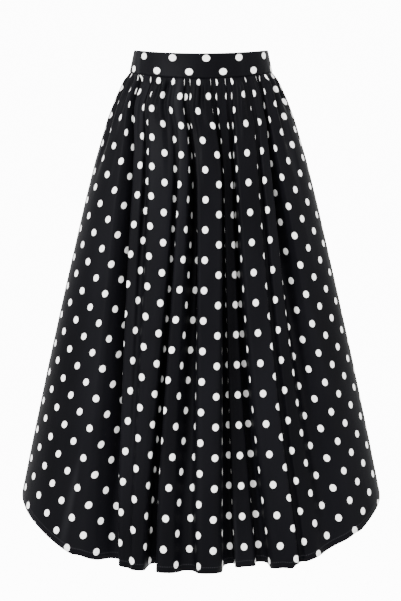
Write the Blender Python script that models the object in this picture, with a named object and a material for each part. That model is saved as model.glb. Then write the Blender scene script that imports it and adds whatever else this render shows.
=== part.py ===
"""Gathered midi skirt in worn form: a wide flat waistband, gathered panels and a shirt-tail hem.

The front faces -Y and +Z is up. The origin is on the skirt's axis at the middle of the
waistband's side height. Every cloth piece is a wall worked out from the skirt's half-ellipse
rings, a short table of large folds and a rule for the small gathers under the waistband.
"""
import math
from typing import NamedTuple

import bmesh
import bpy
import numpy as np

# Waistband
BAND_TOP_HALF_WIDTH = 0.1206
BAND_SEAM_HALF_WIDTH = 0.1287
BAND_TOP_HALF_DEPTH = 0.0900
BAND_SEAM_HALF_DEPTH = 0.0925
BAND_WALL = 0.0024
BAND_COLUMNS = 44
TOP_EDGE_SIDE = 0.0190
TOP_EDGE_FRONT_DROP = 0.0180
TOP_EDGE_BACK_DROP = -0.0030
SEAM_SIDE = -0.0197
SEAM_FRONT_DROP = 0.0232
SEAM_BACK_DROP = 0.0040

# Skirt panels
CLOTH_WIDTH = 1.03
CLOTH_WALL = 0.0012
CLOTH_INSET = 0.0012
HEM_SIDE = -0.772
HEM_DROP = 0.1240
GATHERS = 34
GATHER_ANGLE = 74.0
GATHER_START = 0.020
GATHER_REACH = 0.190
SEAM_DEPTH = 0.14
SEAM_REACH = 0.040
SEAM_JOIN = 0.012
FOLD_SEAM_DEPTH = 0.12
FOLD_REACH = 0.30
UPRIGHT = 86.0
OVERHANG = 12.0
OVERHANG_REACH = 0.26
CREST_BENDS = (0.008, 0.026)
VALLEY_BENDS = (0.008, 0.018)
SIDE_FADE = 0.07
HEM_LIFT = 0.18
SEAM_GAP = 0.0003
EDGE_BEND = 1.3
HEM_BEND = 1.45

# Rings: height on the axis, half width, half depth in front, half depth behind
RINGS = np.array((
    (-0.0200, 0.1287, 0.0925, 0.0925),
    (-0.0340, 0.1400, 0.0970, 0.0960),
    (-0.0520, 0.1485, 0.1010, 0.1000),
    (-0.0700, 0.1566, 0.1040, 0.1040),
    (-0.1060, 0.1700, 0.1090, 0.1100),
    (-0.1780, 0.1910, 0.1170, 0.1190),
    (-0.2500, 0.2090, 0.1230, 0.1260),
    (-0.3940, 0.2420, 0.1310, 0.1350),
    (-0.5380, 0.2740, 0.1400, 0.1440),
    (-0.6820, 0.3040, 0.1500, 0.1540),
    (-0.7720, 0.3220, 0.1580, 0.1620),
    (-0.9200, 0.3480, 0.1700, 0.1740),
))

# Zip
ZIP_HALF_WIDTH = 0.0120
ZIP_WALL = 0.0008
ZIP_CLEARANCE = 0.0007
ZIP_TOP = 0.0120
ZIP_LENGTH = 0.2000
ZIP_ROWS = 12
SLIDER_HEIGHT = 0.0100
SLIDER_WIDTH = 0.0070
SLIDER_THICKNESS = 0.0020
SLIDER_CENTRE = 0.0100
BRIDGE_WIDTH = 0.0016
BRIDGE_OUTER = 0.0024
BRIDGE_HOLE = 0.0012
HINGE_HEIGHT = 0.0125
HINGE_OUT = 0.0048
TAB_LENGTH = 0.0200
TAB_WIDTH = 0.0064
TAB_THICKNESS = 0.0010
TAB_BAR = 0.0011
TAB_WINDOW = 0.0036


class Fold(NamedTuple):
    """A large fold: the cloth it takes up at the seam and at the hem, its steepness, lean and rest."""

    top_start: float
    top_end: float
    hem_start: float
    hem_end: float
    top_steep: float
    hem_steep: float
    lean: float
    rest: float

    def edges(self, level):
        """Where the fold's cloth starts and ends at a share of the drop."""
        start = between((self.top_start, self.hem_start), level)
        return start, between((self.top_end, self.hem_end), level)

    def steepness(self, level):
        """Steepness of its walls in degrees: they only overhang below the gathers."""
        steep = between((self.top_steep, self.hem_steep), level)
        return min(steep, UPRIGHT + OVERHANG * smooth_step(level / OVERHANG_REACH))


# Cloth start and end from the panel's middle at the seam and at the hem (m), steepness at both
# and lean (degrees), depth at which the cloth after the fold rests (m)
FRONT_FOLDS = (
    Fold(-0.430, -0.276, -0.325, -0.212, 88, 75, -24, -0.012),
    Fold(-0.262, -0.204, -0.208, -0.197, 91, 36, 0, 0.0),
    Fold(-0.154, -0.133, -0.195, -0.065, 93, 93, -10, 0.0),
    Fold(-0.122, -0.010, -0.063, 0.022, 92, 64, -10, 0.0),
    Fold(0.036, 0.120, 0.035, 0.136, 94, 90, -10, -0.034),
    Fold(0.130, 0.223, 0.146, 0.240, 98, 94, 0, 0.0),
    Fold(0.258, 0.300, 0.268, 0.300, 97, 84, 0, 0.0),
    Fold(0.310, 0.410, 0.305, 0.395, 97, 28, 0, 0.0),
)
BACK_FOLDS = (
    Fold(-0.440, -0.370, -0.420, -0.365, 92, 60, 18, 0.0),
    Fold(-0.330, -0.235, -0.300, -0.225, 94, 90, -22, -0.010),
    Fold(-0.225, -0.160, -0.212, -0.170, 90, 50, 0, 0.0),
    Fold(-0.125, -0.055, -0.115, -0.050, 92, 84, 12, 0.0),
    Fold(0.060, 0.130, 0.050, 0.120, 92, 86, -14, 0.0),
    Fold(0.150, 0.235, 0.165, 0.225, 94, 72, 16, 0.0),
    Fold(0.265, 0.345, 0.255, 0.340, 92, 92, 22, 0.0),
    Fold(0.385, 0.440, 0.375, 0.425, 94, 45, 0, 0.0),
)

# Rows of the panels as shares of the drop: close together over the gathers
ROWS = (0.0, 0.014, 0.040, 0.080, 0.130, 0.190, 0.265, 0.360, 0.470, 0.580, 0.690, 0.800, 0.900, 1.0)
INTEGRATION_STEPS = 8


def clear_scene():
    """Removes every object of the open scene."""
    for item in list(bpy.data.objects):
        bpy.data.objects.remove(item, do_unlink=True)


def make_collection(name):
    """Makes a collection in the scene."""
    collection = bpy.data.collections.new(name)
    bpy.context.scene.collection.children.link(collection)
    return collection


def make_material(name, colour, roughness, metallic):
    """Makes a Principled material of one colour."""
    material = bpy.data.materials.new(name)
    material.use_nodes = True
    shader = material.node_tree.nodes["Principled BSDF"]
    shader.inputs["Base Color"].default_value = (*colour, 1.0)
    shader.inputs["Roughness"].default_value = roughness
    shader.inputs["Metallic"].default_value = metallic
    return material


def smooth_step(value):
    """Eases a value from 0 to 1."""
    held = np.clip(value, 0.0, 1.0)
    return held * held * (3.0 - 2.0 * held)


def between(ends, level):
    """Value at a share of the drop, from its ends at the seam and at the hem."""
    return ends[0] + (ends[1] - ends[0]) * level


def smoothed(values):
    """Values along a row, each blended with its two neighbours."""
    padded = np.concatenate((values[:1], values, values[-1:]))
    return (padded[:-2] + 2 * padded[1:-1] + padded[2:]) / 4


def edge_height(side_height, drop, bearing):
    """Height of a tilted edge at a bearing, which is 0 in the middle and a quarter turn at a side."""
    return side_height - drop * np.maximum(np.cos(bearing), 0.0) ** EDGE_BEND


def hem_height(bearing):
    """Height of the shirt-tail hem: it curves in at the sides and is full and even in the middle."""
    towards_middle = np.maximum(np.cos(bearing), 0.0)
    return HEM_SIDE - HEM_DROP * (towards_middle ** HEM_BEND + towards_middle ** 4 * (1 - towards_middle))


def ellipse_bearing(share, ratio):
    """Bearing at a signed share of a half ellipse's length, with its depth to width ratio."""
    bearings = np.linspace(-math.pi / 2, math.pi / 2, 361)
    steps = np.hypot(np.cos(bearings), ratio * np.sin(bearings))
    lengths = np.concatenate(([0.0], np.cumsum((steps[1:] + steps[:-1]) / 2)))
    return np.interp((share + 1) / 2 * lengths[-1], lengths, bearings)


def half_length(half_width, half_depth):
    """Length of a half ellipse."""
    bearings = np.linspace(-math.pi / 2, math.pi / 2, 361)
    steps = np.hypot(half_width * np.cos(bearings), half_depth * np.sin(bearings))
    return float(np.sum((steps[1:] + steps[:-1]) / 2) * math.pi / 360)


def fold_angle(cloth, level, folds):
    """Angle in radians that the cloth makes with its ring, and how far the folds take it up."""
    angle = np.zeros_like(cloth)
    taken = np.zeros_like(cloth)
    for fold in folds:
        start, end = fold.edges(level)
        steep = fold.steepness(level)
        lean = fold.lean * smooth_step(level / OVERHANG_REACH)
        down = math.radians(steep + lean)
        back = math.radians(steep - lean)
        valley_place = start + (end - start) * math.sin(back) / (math.sin(down) + math.sin(back))
        shorter_wall = min(valley_place - start, end - valley_place)
        crest = min(between(CREST_BENDS, level ** 2), 0.48 * shorter_wall)
        valley = min(between(VALLEY_BENDS, level ** 2), 0.48 * shorter_wall)
        falling = smooth_step((cloth - start) / crest) * smooth_step((valley_place - cloth) / valley)
        rising = smooth_step((cloth - valley_place) / valley) * smooth_step((end - cloth) / crest)
        angle += back * rising - down * falling
        taken += smooth_step((cloth - start) / crest + 1) * smooth_step((end - cloth) / crest + 1)
    return angle, np.minimum(taken, 1.0)


def gather_angle(cloth, level, phase_seed):
    """Angle in radians of the gathers: each one falls from its crest and rises to the next."""
    number = (cloth / CLOTH_WIDTH + 0.5) * GATHERS
    number = number + 0.20 * np.sin(number * 2.1 + phase_seed) * np.sin(math.pi * number / GATHERS)
    whole = np.floor(number)
    reach = GATHER_REACH * (1.0 + 0.35 * np.sin(whole * 1.7 + phase_seed) + 0.20 * np.sin(whole * 2.9))
    fade = 1 - smooth_step((level - GATHER_START) / reach)
    uneven = 0.90 + 0.10 * np.sin(whole * 2.4 + phase_seed)
    return -math.radians(GATHER_ANGLE) * fade * uneven * np.sin(2 * math.pi * number)


class Panel:
    """The cloth of the front, or of the whole back, as rows of outer and inner points."""

    def __init__(self, facing, folds, seam_drop, flat_middle, phase_seed):
        self.facing = facing
        self.folds = folds
        self.seam_drop = seam_drop
        self.flat_middle = flat_middle
        self.phase_seed = phase_seed
        self.columns = 4 * GATHERS

    def row(self, level):
        """Outer points of one row, with each point's normal in the horizontal plane."""
        fine = self.columns * INTEGRATION_STEPS
        cloth = np.linspace(-CLOTH_WIDTH / 2, CLOTH_WIDTH / 2, fine + 1)
        fold, taken = fold_angle(cloth, level, self.folds)
        gather = gather_angle(cloth, level, self.phase_seed) * (1 - taken)
        along = self.summed(np.cos(fold + gather))
        gather_depth = self.summed(np.sin(gather))
        gather_depth -= np.linspace(0.0, gather_depth[-1], len(cloth))
        fold_share = FOLD_SEAM_DEPTH + (1 - FOLD_SEAM_DEPTH) * smooth_step(level / FOLD_REACH)
        gather_share = SEAM_DEPTH + (1 - SEAM_DEPTH) * smooth_step(level / SEAM_REACH)
        depth = self.fold_depth(cloth, fold, level) * fold_share + gather_depth * gather_share
        along = along[::INTEGRATION_STEPS]
        depth = depth[::INTEGRATION_STEPS] * smooth_step(level / SEAM_JOIN)
        share = 2 * along / along[-1] - 1
        share_of_flat = np.ones_like(share)
        if self.flat_middle > 0:
            share = self.centred(share)
            share_of_flat = smooth_step((np.abs(share) * 0.175 - self.flat_middle) / 0.016)
        ends = smooth_step((1 - np.abs(share)) / SIDE_FADE)
        return self.place(share, depth * ends * share_of_flat, level)

    def fold_depth(self, cloth, fold, level):
        """Depth of the large folds, each of which ends at its own rest depth."""
        depth = self.summed(np.sin(fold))
        edges = [cloth[0]]
        rests = [0.0]
        for item in self.folds:
            edges.extend(item.edges(level))
            rests.extend((rests[-1], item.rest))
        drift = np.interp(edges, cloth, depth) - np.array(rests)
        return depth - np.interp(cloth, edges, drift)

    def summed(self, slopes):
        """Running sum of a slope along the cloth, in metres."""
        middle = (slopes[1:] + slopes[:-1]) / 2
        step = CLOTH_WIDTH / (self.columns * INTEGRATION_STEPS)
        return np.concatenate(([0.0], np.cumsum(middle))) * step

    def centred(self, share):
        """Keeps the middle column on the middle plane, for a panel that is cut there."""
        middle = share[self.columns // 2]
        left = -1 + (share + 1) / (middle + 1)
        right = (share - middle) / (1 - middle)
        return np.where(share < middle, left, right)

    def place(self, share, depth, level):
        """Puts a row on the rings, pushed in by its depth, and finds its normals."""
        seam_bearing = ellipse_bearing(share, RINGS[0, 2] / RINGS[0, 1])
        top = edge_height(SEAM_SIDE, self.seam_drop, seam_bearing) - SEAM_GAP
        hem = hem_height(ellipse_bearing(share, 0.48))
        height = top + (hem - top) * level - HEM_LIFT * depth * level ** 4
        ring_height = height + edge_height(0.0, -self.seam_drop, seam_bearing) * (1 - level)
        half_width = np.interp(-ring_height, -RINGS[:, 0], RINGS[:, 1]) - CLOTH_INSET
        depth_column = 2 if self.facing < 0 else 3
        half_depth = np.interp(-ring_height, -RINGS[:, 0], RINGS[:, depth_column]) - CLOTH_INSET
        turn = np.array([float(ellipse_bearing(s, d / w)) for s, d, w in zip(share, half_depth, half_width)])
        across = half_width * np.sin(turn)
        out = half_depth * np.cos(turn)
        normal_across = half_depth * np.sin(turn)
        normal_out = half_width * np.cos(turn)
        size = np.hypot(normal_across, normal_out)
        across = across + depth * normal_across / size
        out = out + depth * normal_out / size
        out[0] = SEAM_GAP
        out[-1] = SEAM_GAP
        run_across = smoothed(np.gradient(across))
        run_out = smoothed(np.gradient(out))
        run_size = np.hypot(run_across, run_out)
        normals = np.stack((-run_out / run_size, run_across / run_size), axis=1)
        normals[0] = (-1.0, 0.0)
        normals[-1] = (1.0, 0.0)
        if self.flat_middle > 0:
            normals[self.columns // 2] = (0.0, 1.0)
        return np.stack((across, out, height), axis=1), normals

    def walls(self):
        """Outer and inner points of every row."""
        outer = []
        inner = []
        for level in ROWS:
            points, normals = self.row(level)
            shifted = points.copy()
            shifted[:, :2] -= normals * CLOTH_WALL
            outer.append(points)
            inner.append(shifted)
        outer = np.array(outer)
        inner = np.array(inner)
        outer[:, :, 1] *= self.facing
        inner[:, :, 1] *= self.facing
        return outer, inner


def sheet_triangles(points, flip):
    """Triangles of a grid of points, with their diagonals turned column by column."""
    triangles = []
    for near, far in zip(points, points[1:]):
        for column in range(len(near) - 1):
            a, b, c, d = near[column], near[column + 1], far[column + 1], far[column]
            if column % 2:
                triangles += [(a, b, c), (a, c, d)]
            else:
                triangles += [(a, b, d), (b, c, d)]
    if flip:
        triangles = [triangle[::-1] for triangle in triangles]
    return triangles


def wall_mesh(name, outer, inner, facing):
    """Closed wall between two grids of points, as a mesh."""
    rows, columns = outer.shape[:2]
    mesh = bmesh.new()
    sheets = []
    for grid in (outer, inner):
        sheets.append([[mesh.verts.new(grid[r, c]) for c in range(columns)] for r in range(rows)])
    outward = facing > 0
    for number, sheet in enumerate(sheets):
        for triangle in sheet_triangles(sheet, outward == (number == 0)):
            mesh.faces.new(triangle)
    loop = [(0, c) for c in range(columns - 1)]
    loop += [(r, columns - 1) for r in range(rows - 1)]
    loop += [(rows - 1, c) for c in range(columns - 1, 0, -1)]
    loop += [(r, 0) for r in range(rows - 1, 0, -1)]
    for (r0, c0), (r1, c1) in zip(loop, loop[1:] + loop[:1]):
        mesh.faces.new((sheets[0][r0][c0], sheets[0][r1][c1], sheets[1][r1][c1], sheets[1][r0][c0]))
    bmesh.ops.recalc_face_normals(mesh, faces=mesh.faces)
    data = bpy.data.meshes.new(name)
    mesh.to_mesh(data)
    mesh.free()
    return data


def add_object(name, data, collection, material):
    """Adds an object with its material to a collection."""
    item = bpy.data.objects.new(name, data)
    collection.objects.link(item)
    if not data.materials:
        data.materials.append(material)
    return item


def band_grids(facing, start, end, seam_drop, top_drop):
    """Outer and inner points of a stretch of the waistband, from one signed share to another."""
    count = max(4, round(BAND_COLUMNS * (end - start) / 2))
    shares = np.linspace(start, end, count + 1)
    outer = []
    inner = []
    for part in (0.0, 1.0):
        half_width = BAND_TOP_HALF_WIDTH + (BAND_SEAM_HALF_WIDTH - BAND_TOP_HALF_WIDTH) * part
        half_depth = BAND_TOP_HALF_DEPTH + (BAND_SEAM_HALF_DEPTH - BAND_TOP_HALF_DEPTH) * part
        bearing = ellipse_bearing(shares, half_depth / half_width)
        top = edge_height(TOP_EDGE_SIDE, top_drop, bearing)
        seam = edge_height(SEAM_SIDE, seam_drop, bearing)
        height = top + (seam - top) * part
        for store, wall in ((outer, 0.0), (inner, BAND_WALL)):
            across = (half_width - wall) * np.sin(bearing)
            out = (half_depth - wall) * np.cos(bearing)
            for column in (0, count):
                if abs(shares[column]) > 0.99:
                    out[column] = SEAM_GAP
                else:
                    across[column] = math.copysign(SEAM_GAP, shares[(1, count - 1)[column > 0]])
            store.append(np.stack((across, out, height), axis=1))
    outer = np.array(outer)
    inner = np.array(inner)
    outer[:, :, 1] *= facing
    inner[:, :, 1] *= facing
    return outer, inner


def build_waistband(collection, material):
    """Front waistband and the two back ones, which the zip parts."""
    pieces = (
        ("waistband_front", -1, -1.0, 1.0, SEAM_FRONT_DROP, TOP_EDGE_FRONT_DROP),
        ("waistband_back_left", 1, -1.0, 0.0, SEAM_BACK_DROP, TOP_EDGE_BACK_DROP),
        ("waistband_back_right", 1, 0.0, 1.0, SEAM_BACK_DROP, TOP_EDGE_BACK_DROP),
    )
    for name, facing, start, end, seam_drop, top_drop in pieces:
        outer, inner = band_grids(facing, start, end, seam_drop, top_drop)
        data = wall_mesh(name, outer, inner, facing)
        add_object(name, data, collection, material)


def build_panels(collection, material):
    """Front panel and the two back panels."""
    front = Panel(-1, FRONT_FOLDS, SEAM_FRONT_DROP, 0.0, 0.4)
    outer, inner = front.walls()
    data = wall_mesh("skirt_front", outer, inner, -1)
    add_object("skirt_front", data, collection, material)
    back = Panel(1, BACK_FOLDS, SEAM_BACK_DROP, 0.014, 1.9)
    outer, inner = back.walls()
    middle = back.columns // 2
    for name, first, last, edge in (
        ("skirt_back_left", 0, middle, -1),
        ("skirt_back_right", middle, back.columns, 0),
    ):
        cut_outer = outer[:, first:last + 1].copy()
        cut_inner = inner[:, first:last + 1].copy()
        side = -1 if edge else 1
        for grid in (cut_outer, cut_inner):
            grid[:, edge, 0] = side * SEAM_GAP
        data = wall_mesh(name, cut_outer, cut_inner, 1)
        add_object(name, data, collection, material)


def back_surface(height):
    """Half width and half depth of the outside of the back at a height near its middle."""
    if height > RINGS[0, 0]:
        part = (TOP_EDGE_SIDE - height) / (TOP_EDGE_SIDE - SEAM_SIDE)
        half_width = BAND_TOP_HALF_WIDTH + (BAND_SEAM_HALF_WIDTH - BAND_TOP_HALF_WIDTH) * part
        return half_width, BAND_TOP_HALF_DEPTH + (BAND_SEAM_HALF_DEPTH - BAND_TOP_HALF_DEPTH) * part
    top = SEAM_SIDE - SEAM_BACK_DROP
    level = max(0.0, (top - height) / (top - HEM_SIDE + HEM_DROP))
    ring_height = height + SEAM_BACK_DROP * (1 - level)
    half_width = np.interp(-ring_height, -RINGS[:, 0], RINGS[:, 1])
    return half_width, np.interp(-ring_height, -RINGS[:, 0], RINGS[:, 3])


def build_zip_tape(collection, material):
    """The concealed zip's tape, which lies against the inside of the centre back seam."""
    outer = []
    inner = []
    seam = SEAM_SIDE - SEAM_BACK_DROP
    above = np.linspace(ZIP_TOP, seam, 3)
    below = np.linspace(seam, ZIP_TOP - ZIP_LENGTH, ZIP_ROWS)
    for height in np.concatenate((above, below[1:])):
        half_width, half_depth = back_surface(height)
        half_depth -= BAND_WALL + ZIP_CLEARANCE
        across = np.linspace(-ZIP_HALF_WIDTH, ZIP_HALF_WIDTH, 7)
        out = half_depth * np.sqrt(1 - (across / half_width) ** 2)
        outer.append(np.stack((across, out, np.full_like(across, height)), axis=1))
        inner.append(np.stack((across, out - ZIP_WALL, np.full_like(across, height)), axis=1))
    outer = np.array(outer)
    inner = np.array(inner)
    data = wall_mesh("zip_tape", outer, inner, 1)
    add_object("zip_tape", data, collection, material)


def flat_outline(name, loops, thickness, collection):
    """A filled outline with holes, extruded, as a mesh object."""
    curve = bpy.data.curves.new(name, "CURVE")
    curve.dimensions = "2D"
    curve.fill_mode = "BOTH"
    curve.extrude = thickness / 2
    for loop in loops:
        spline = curve.splines.new("POLY")
        spline.points.add(len(loop) - 1)
        for point, (x, y) in zip(spline.points, loop):
            point.co = (x, y, 0.0, 1.0)
        spline.use_cyclic_u = True
    holder = bpy.data.objects.new(name + "_outline", curve)
    collection.objects.link(holder)
    graph = bpy.context.evaluated_depsgraph_get()
    data = bpy.data.meshes.new_from_object(holder.evaluated_get(graph))
    bpy.data.objects.remove(holder, do_unlink=True)
    mesh = bmesh.new()
    mesh.from_mesh(data)
    bmesh.ops.remove_doubles(mesh, verts=mesh.verts, dist=0.00001)
    mesh.to_mesh(data)
    mesh.free()
    item = bpy.data.objects.new(name, data)
    collection.objects.link(item)
    return item


def rounded_box_loop(half_width, low, high, corner, count=4):
    """Outline of a box with round corners."""
    loop = []
    corners = (
        (half_width - corner, high - corner, 0),
        (-half_width + corner, high - corner, 1),
        (-half_width + corner, low + corner, 2),
        (half_width - corner, low + corner, 3),
    )
    for x, y, quarter in corners:
        for step in range(count + 1):
            angle = (quarter + step / count) * math.pi / 2
            loop.append((x + corner * math.cos(angle), y + corner * math.sin(angle)))
    return loop


def arc_loop(radius, count=20):
    """Outline of a circle."""
    turns = (2 * math.pi * step / count for step in range(count))
    return [(radius * math.cos(turn), radius * math.sin(turn)) for turn in turns]


def tab_loop():
    """Teardrop outline of the pull tab, hung from the hinge at the origin."""
    top = TAB_BAR / 2
    neck = TAB_WIDTH * 0.42
    wide = TAB_WIDTH / 2
    low = top - TAB_LENGTH
    loop = [(neck * 0.7, top), (-neck * 0.7, top), (-neck, top - 0.0008)]
    for step in range(9):
        turn = math.pi + math.pi * step / 8
        loop.append((wide * math.cos(turn), low + wide + wide * math.sin(turn)))
    loop.append((neck, top - 0.0008))
    return loop


def build_slider(collection, material):
    """The slider's body and the bridge that carries the tab."""
    back = back_surface(SLIDER_CENTRE - SLIDER_HEIGHT / 2)[1] + SEAM_GAP
    body = flat_outline(
        "zip_slider",
        [rounded_box_loop(SLIDER_WIDTH / 2, -SLIDER_HEIGHT / 2, SLIDER_HEIGHT / 2, 0.0016)],
        SLIDER_THICKNESS,
        collection,
    )
    body.rotation_euler = (math.pi / 2, 0.0, 0.0)
    body.location = (0.0, back + SLIDER_THICKNESS / 2, SLIDER_CENTRE)
    body.data.materials.clear()
    body.data.materials.append(material)
    bridge = flat_outline(
        "zip_bridge_cutter",
        [
            [(-BRIDGE_OUTER, -HINGE_OUT + 0.0012)]
            + [(BRIDGE_OUTER * math.cos(math.pi - math.pi * s / 10), BRIDGE_OUTER * math.sin(math.pi * s / 10))
               for s in range(11)]
            + [(BRIDGE_OUTER, -HINGE_OUT + 0.0012)],
            arc_loop(BRIDGE_HOLE),
        ],
        BRIDGE_WIDTH,
        collection,
    )
    bridge.rotation_euler = (math.pi / 2, 0.0, math.pi / 2)
    bridge.rotation_mode = "XYZ"
    bridge.location = (0.0, back + HINGE_OUT, HINGE_HEIGHT)
    return body, bridge, back + HINGE_OUT


def turn_bridge(bridge):
    """Turns the bridge's outline so that its round top faces +Y and its width runs along X."""
    for vertex in bridge.data.vertices:
        along, out, width = vertex.co
        vertex.co = (width, out, along)
    bridge.rotation_euler = (0.0, 0.0, 0.0)
    mesh = bmesh.new()
    mesh.from_mesh(bridge.data)
    bmesh.ops.recalc_face_normals(mesh, faces=mesh.faces)
    mesh.to_mesh(bridge.data)
    mesh.free()


def build_zip_hardware(collection, cutters, material):
    """Slider with its bridge, and the pull tab on its hinge."""
    body, bridge, hinge_out = build_slider(collection, material)
    turn_bridge(bridge)
    collection.objects.unlink(bridge)
    cutters.objects.link(bridge)
    bridge.hide_render = True
    bridge.display_type = "WIRE"
    union = body.modifiers.new("bridge", "BOOLEAN")
    union.operation = "UNION"
    union.object = bridge
    window = [(x, y - TAB_BAR / 2 - TAB_WINDOW / 2)
              for x, y in rounded_box_loop(0.0014, -TAB_WINDOW / 2, TAB_WINDOW / 2, 0.0004, 2)]
    tab = flat_outline("zip_pull_tab", [tab_loop(), window], TAB_THICKNESS, collection)
    tab.rotation_euler = (math.pi / 2, 0.0, 0.0)
    tab.location = (0.0, hinge_out, HINGE_HEIGHT)
    tab.data.materials.clear()
    tab.data.materials.append(material)


def main():
    """Builds the skirt."""
    clear_scene()
    skirt = make_collection("gathered_skirt")
    cutters = make_collection("cutters")
    satin = make_material("black_dotted_satin", (0.012, 0.012, 0.016), 0.38, 0.0)
    tape = make_material("black_zip_tape", (0.014, 0.014, 0.016), 0.75, 0.0)
    metal = make_material("black_painted_metal", (0.02, 0.02, 0.022), 0.30, 0.0)
    build_waistband(skirt, satin)
    build_panels(skirt, satin)
    build_zip_tape(skirt, tape)
    build_zip_hardware(skirt, cutters, metal)


main()
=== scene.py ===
"""Gathered polka-dot midi skirt in worn form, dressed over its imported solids."""
import logging
import math
from dataclasses import dataclass, field
from enum import Enum
from typing import Any, NamedTuple, Sequence

import bmesh
import bpy
import numpy as np
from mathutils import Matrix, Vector


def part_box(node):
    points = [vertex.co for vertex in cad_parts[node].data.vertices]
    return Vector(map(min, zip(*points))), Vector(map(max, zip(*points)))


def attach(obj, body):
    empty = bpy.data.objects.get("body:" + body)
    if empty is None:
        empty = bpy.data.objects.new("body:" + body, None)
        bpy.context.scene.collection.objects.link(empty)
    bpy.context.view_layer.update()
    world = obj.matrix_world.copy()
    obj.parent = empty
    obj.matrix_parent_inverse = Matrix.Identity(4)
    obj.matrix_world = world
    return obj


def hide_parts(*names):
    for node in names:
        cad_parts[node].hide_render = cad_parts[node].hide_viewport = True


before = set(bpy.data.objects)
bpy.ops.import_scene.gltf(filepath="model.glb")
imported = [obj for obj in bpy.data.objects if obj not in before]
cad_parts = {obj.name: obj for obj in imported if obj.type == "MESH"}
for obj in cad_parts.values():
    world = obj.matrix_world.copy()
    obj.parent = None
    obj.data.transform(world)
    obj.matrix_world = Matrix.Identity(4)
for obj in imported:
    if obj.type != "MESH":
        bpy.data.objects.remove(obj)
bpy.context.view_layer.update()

Array = np.ndarray
Grids = tuple[Array, Array, Array, Array]
Triple = tuple[float, float, float]
Pieces = list[bpy.types.Object]
log = logging.getLogger("skirt")

CLOTH_MAP = "Cloth"
HEM_MAP = "HemDistance"
BAKE_MAP = "OFBake"
TINY = 1e-9
# Steepest fold wall in degrees: UPRIGHT at the seam, and OVERHANG more below this share of the drop.
UPRIGHT = 86.0
OVERHANG = 12.0
OVERHANG_REACH = 0.26


class Facing(Enum):
    """Half of the skirt, by the sign of its depth axis."""

    FRONT = -1
    BACK = 1


class Cut(Enum):
    """Stretch of a half ring that a piece covers."""

    WHOLE = (-1.0, 1.0)
    LEFT = (-1.0, 0.0)
    RIGHT = (0.0, 1.0)


class Ring(NamedTuple):
    """Half ellipses of the worn skirt at one height, in metres."""

    height: float
    half_width: float
    front_depth: float
    back_depth: float


class Fold(NamedTuple):
    """A large fold: the cloth it takes up at the seam and at the hem, its steepness, lean and rest."""

    top_start: float
    top_end: float
    hem_start: float
    hem_end: float
    top_steep: float
    hem_steep: float
    lean: float
    rest: float

    def edges(self, level: float) -> tuple[float, float]:
        """Where the fold's cloth starts and ends at a share of the drop."""
        start = between((self.top_start, self.hem_start), level)
        return start, between((self.top_end, self.hem_end), level)

    def steepness(self, level: float) -> float:
        """Steepness of its walls in degrees: they only overhang below the gathers."""
        steep = between((self.top_steep, self.hem_steep), level)
        return min(steep, UPRIGHT + OVERHANG * float(smooth_step(level / OVERHANG_REACH)))


class Crease(NamedTuple):
    """A soft ridge (positive depth) or trough of the cloth, in cloth metres from the panel's middle."""

    across: float
    down: float
    length: float
    width: float
    depth: float
    slant: float


RINGS: tuple[Ring, ...] = (
    Ring(-0.0200, 0.1287, 0.0925, 0.0925),
    Ring(-0.0340, 0.1400, 0.0970, 0.0960),
    Ring(-0.0520, 0.1485, 0.1010, 0.1000),
    Ring(-0.0700, 0.1566, 0.1040, 0.1040),
    Ring(-0.1060, 0.1700, 0.1090, 0.1100),
    Ring(-0.1780, 0.1910, 0.1170, 0.1190),
    Ring(-0.2500, 0.2090, 0.1230, 0.1260),
    Ring(-0.3940, 0.2420, 0.1310, 0.1350),
    Ring(-0.5380, 0.2740, 0.1400, 0.1440),
    Ring(-0.6820, 0.3040, 0.1500, 0.1540),
    Ring(-0.7720, 0.3220, 0.1580, 0.1620),
    Ring(-0.9200, 0.3480, 0.1700, 0.1740),
)

FRONT_FOLDS: tuple[Fold, ...] = (
    Fold(-0.430, -0.276, -0.325, -0.212, 88, 75, -24, -0.012),
    Fold(-0.262, -0.204, -0.208, -0.197, 91, 36, 0, 0.0),
    Fold(-0.154, -0.133, -0.195, -0.065, 93, 93, -10, 0.0),
    Fold(-0.122, -0.010, -0.063, 0.022, 92, 64, -10, 0.0),
    Fold(0.036, 0.120, 0.035, 0.136, 94, 90, -10, -0.034),
    Fold(0.130, 0.223, 0.146, 0.240, 98, 94, 0, 0.0),
    Fold(0.258, 0.300, 0.268, 0.300, 97, 84, 0, 0.0),
    Fold(0.310, 0.410, 0.305, 0.395, 97, 28, 0, 0.0),
)
BACK_FOLDS: tuple[Fold, ...] = (
    Fold(-0.440, -0.370, -0.420, -0.365, 92, 60, 18, 0.0),
    Fold(-0.330, -0.235, -0.300, -0.225, 94, 90, -22, -0.010),
    Fold(-0.225, -0.160, -0.212, -0.170, 90, 50, 0, 0.0),
    Fold(-0.125, -0.055, -0.115, -0.050, 92, 84, 12, 0.0),
    Fold(0.060, 0.130, 0.050, 0.120, 92, 86, -14, 0.0),
    Fold(0.150, 0.235, 0.165, 0.225, 94, 72, 16, 0.0),
    Fold(0.265, 0.345, 0.255, 0.340, 92, 92, 22, 0.0),
    Fold(0.385, 0.440, 0.375, 0.425, 94, 45, 0, 0.0),
)
FRONT_CREASES: tuple[Crease, ...] = (
    Crease(-0.440, 0.30, 0.24, 0.030, 0.0022, 0.02),
    Crease(-0.400, 0.52, 0.30, 0.045, -0.0026, -0.04),
    Crease(0.000, 0.34, 0.26, 0.026, 0.0018, 0.01),
    Crease(0.020, 0.62, 0.30, 0.030, -0.0018, -0.02),
    Crease(0.225, 0.50, 0.34, 0.030, 0.0022, 0.02),
    Crease(0.405, 0.34, 0.26, 0.034, 0.0026, 0.03),
    Crease(0.450, 0.58, 0.30, 0.040, -0.0026, 0.05),
)
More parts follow.
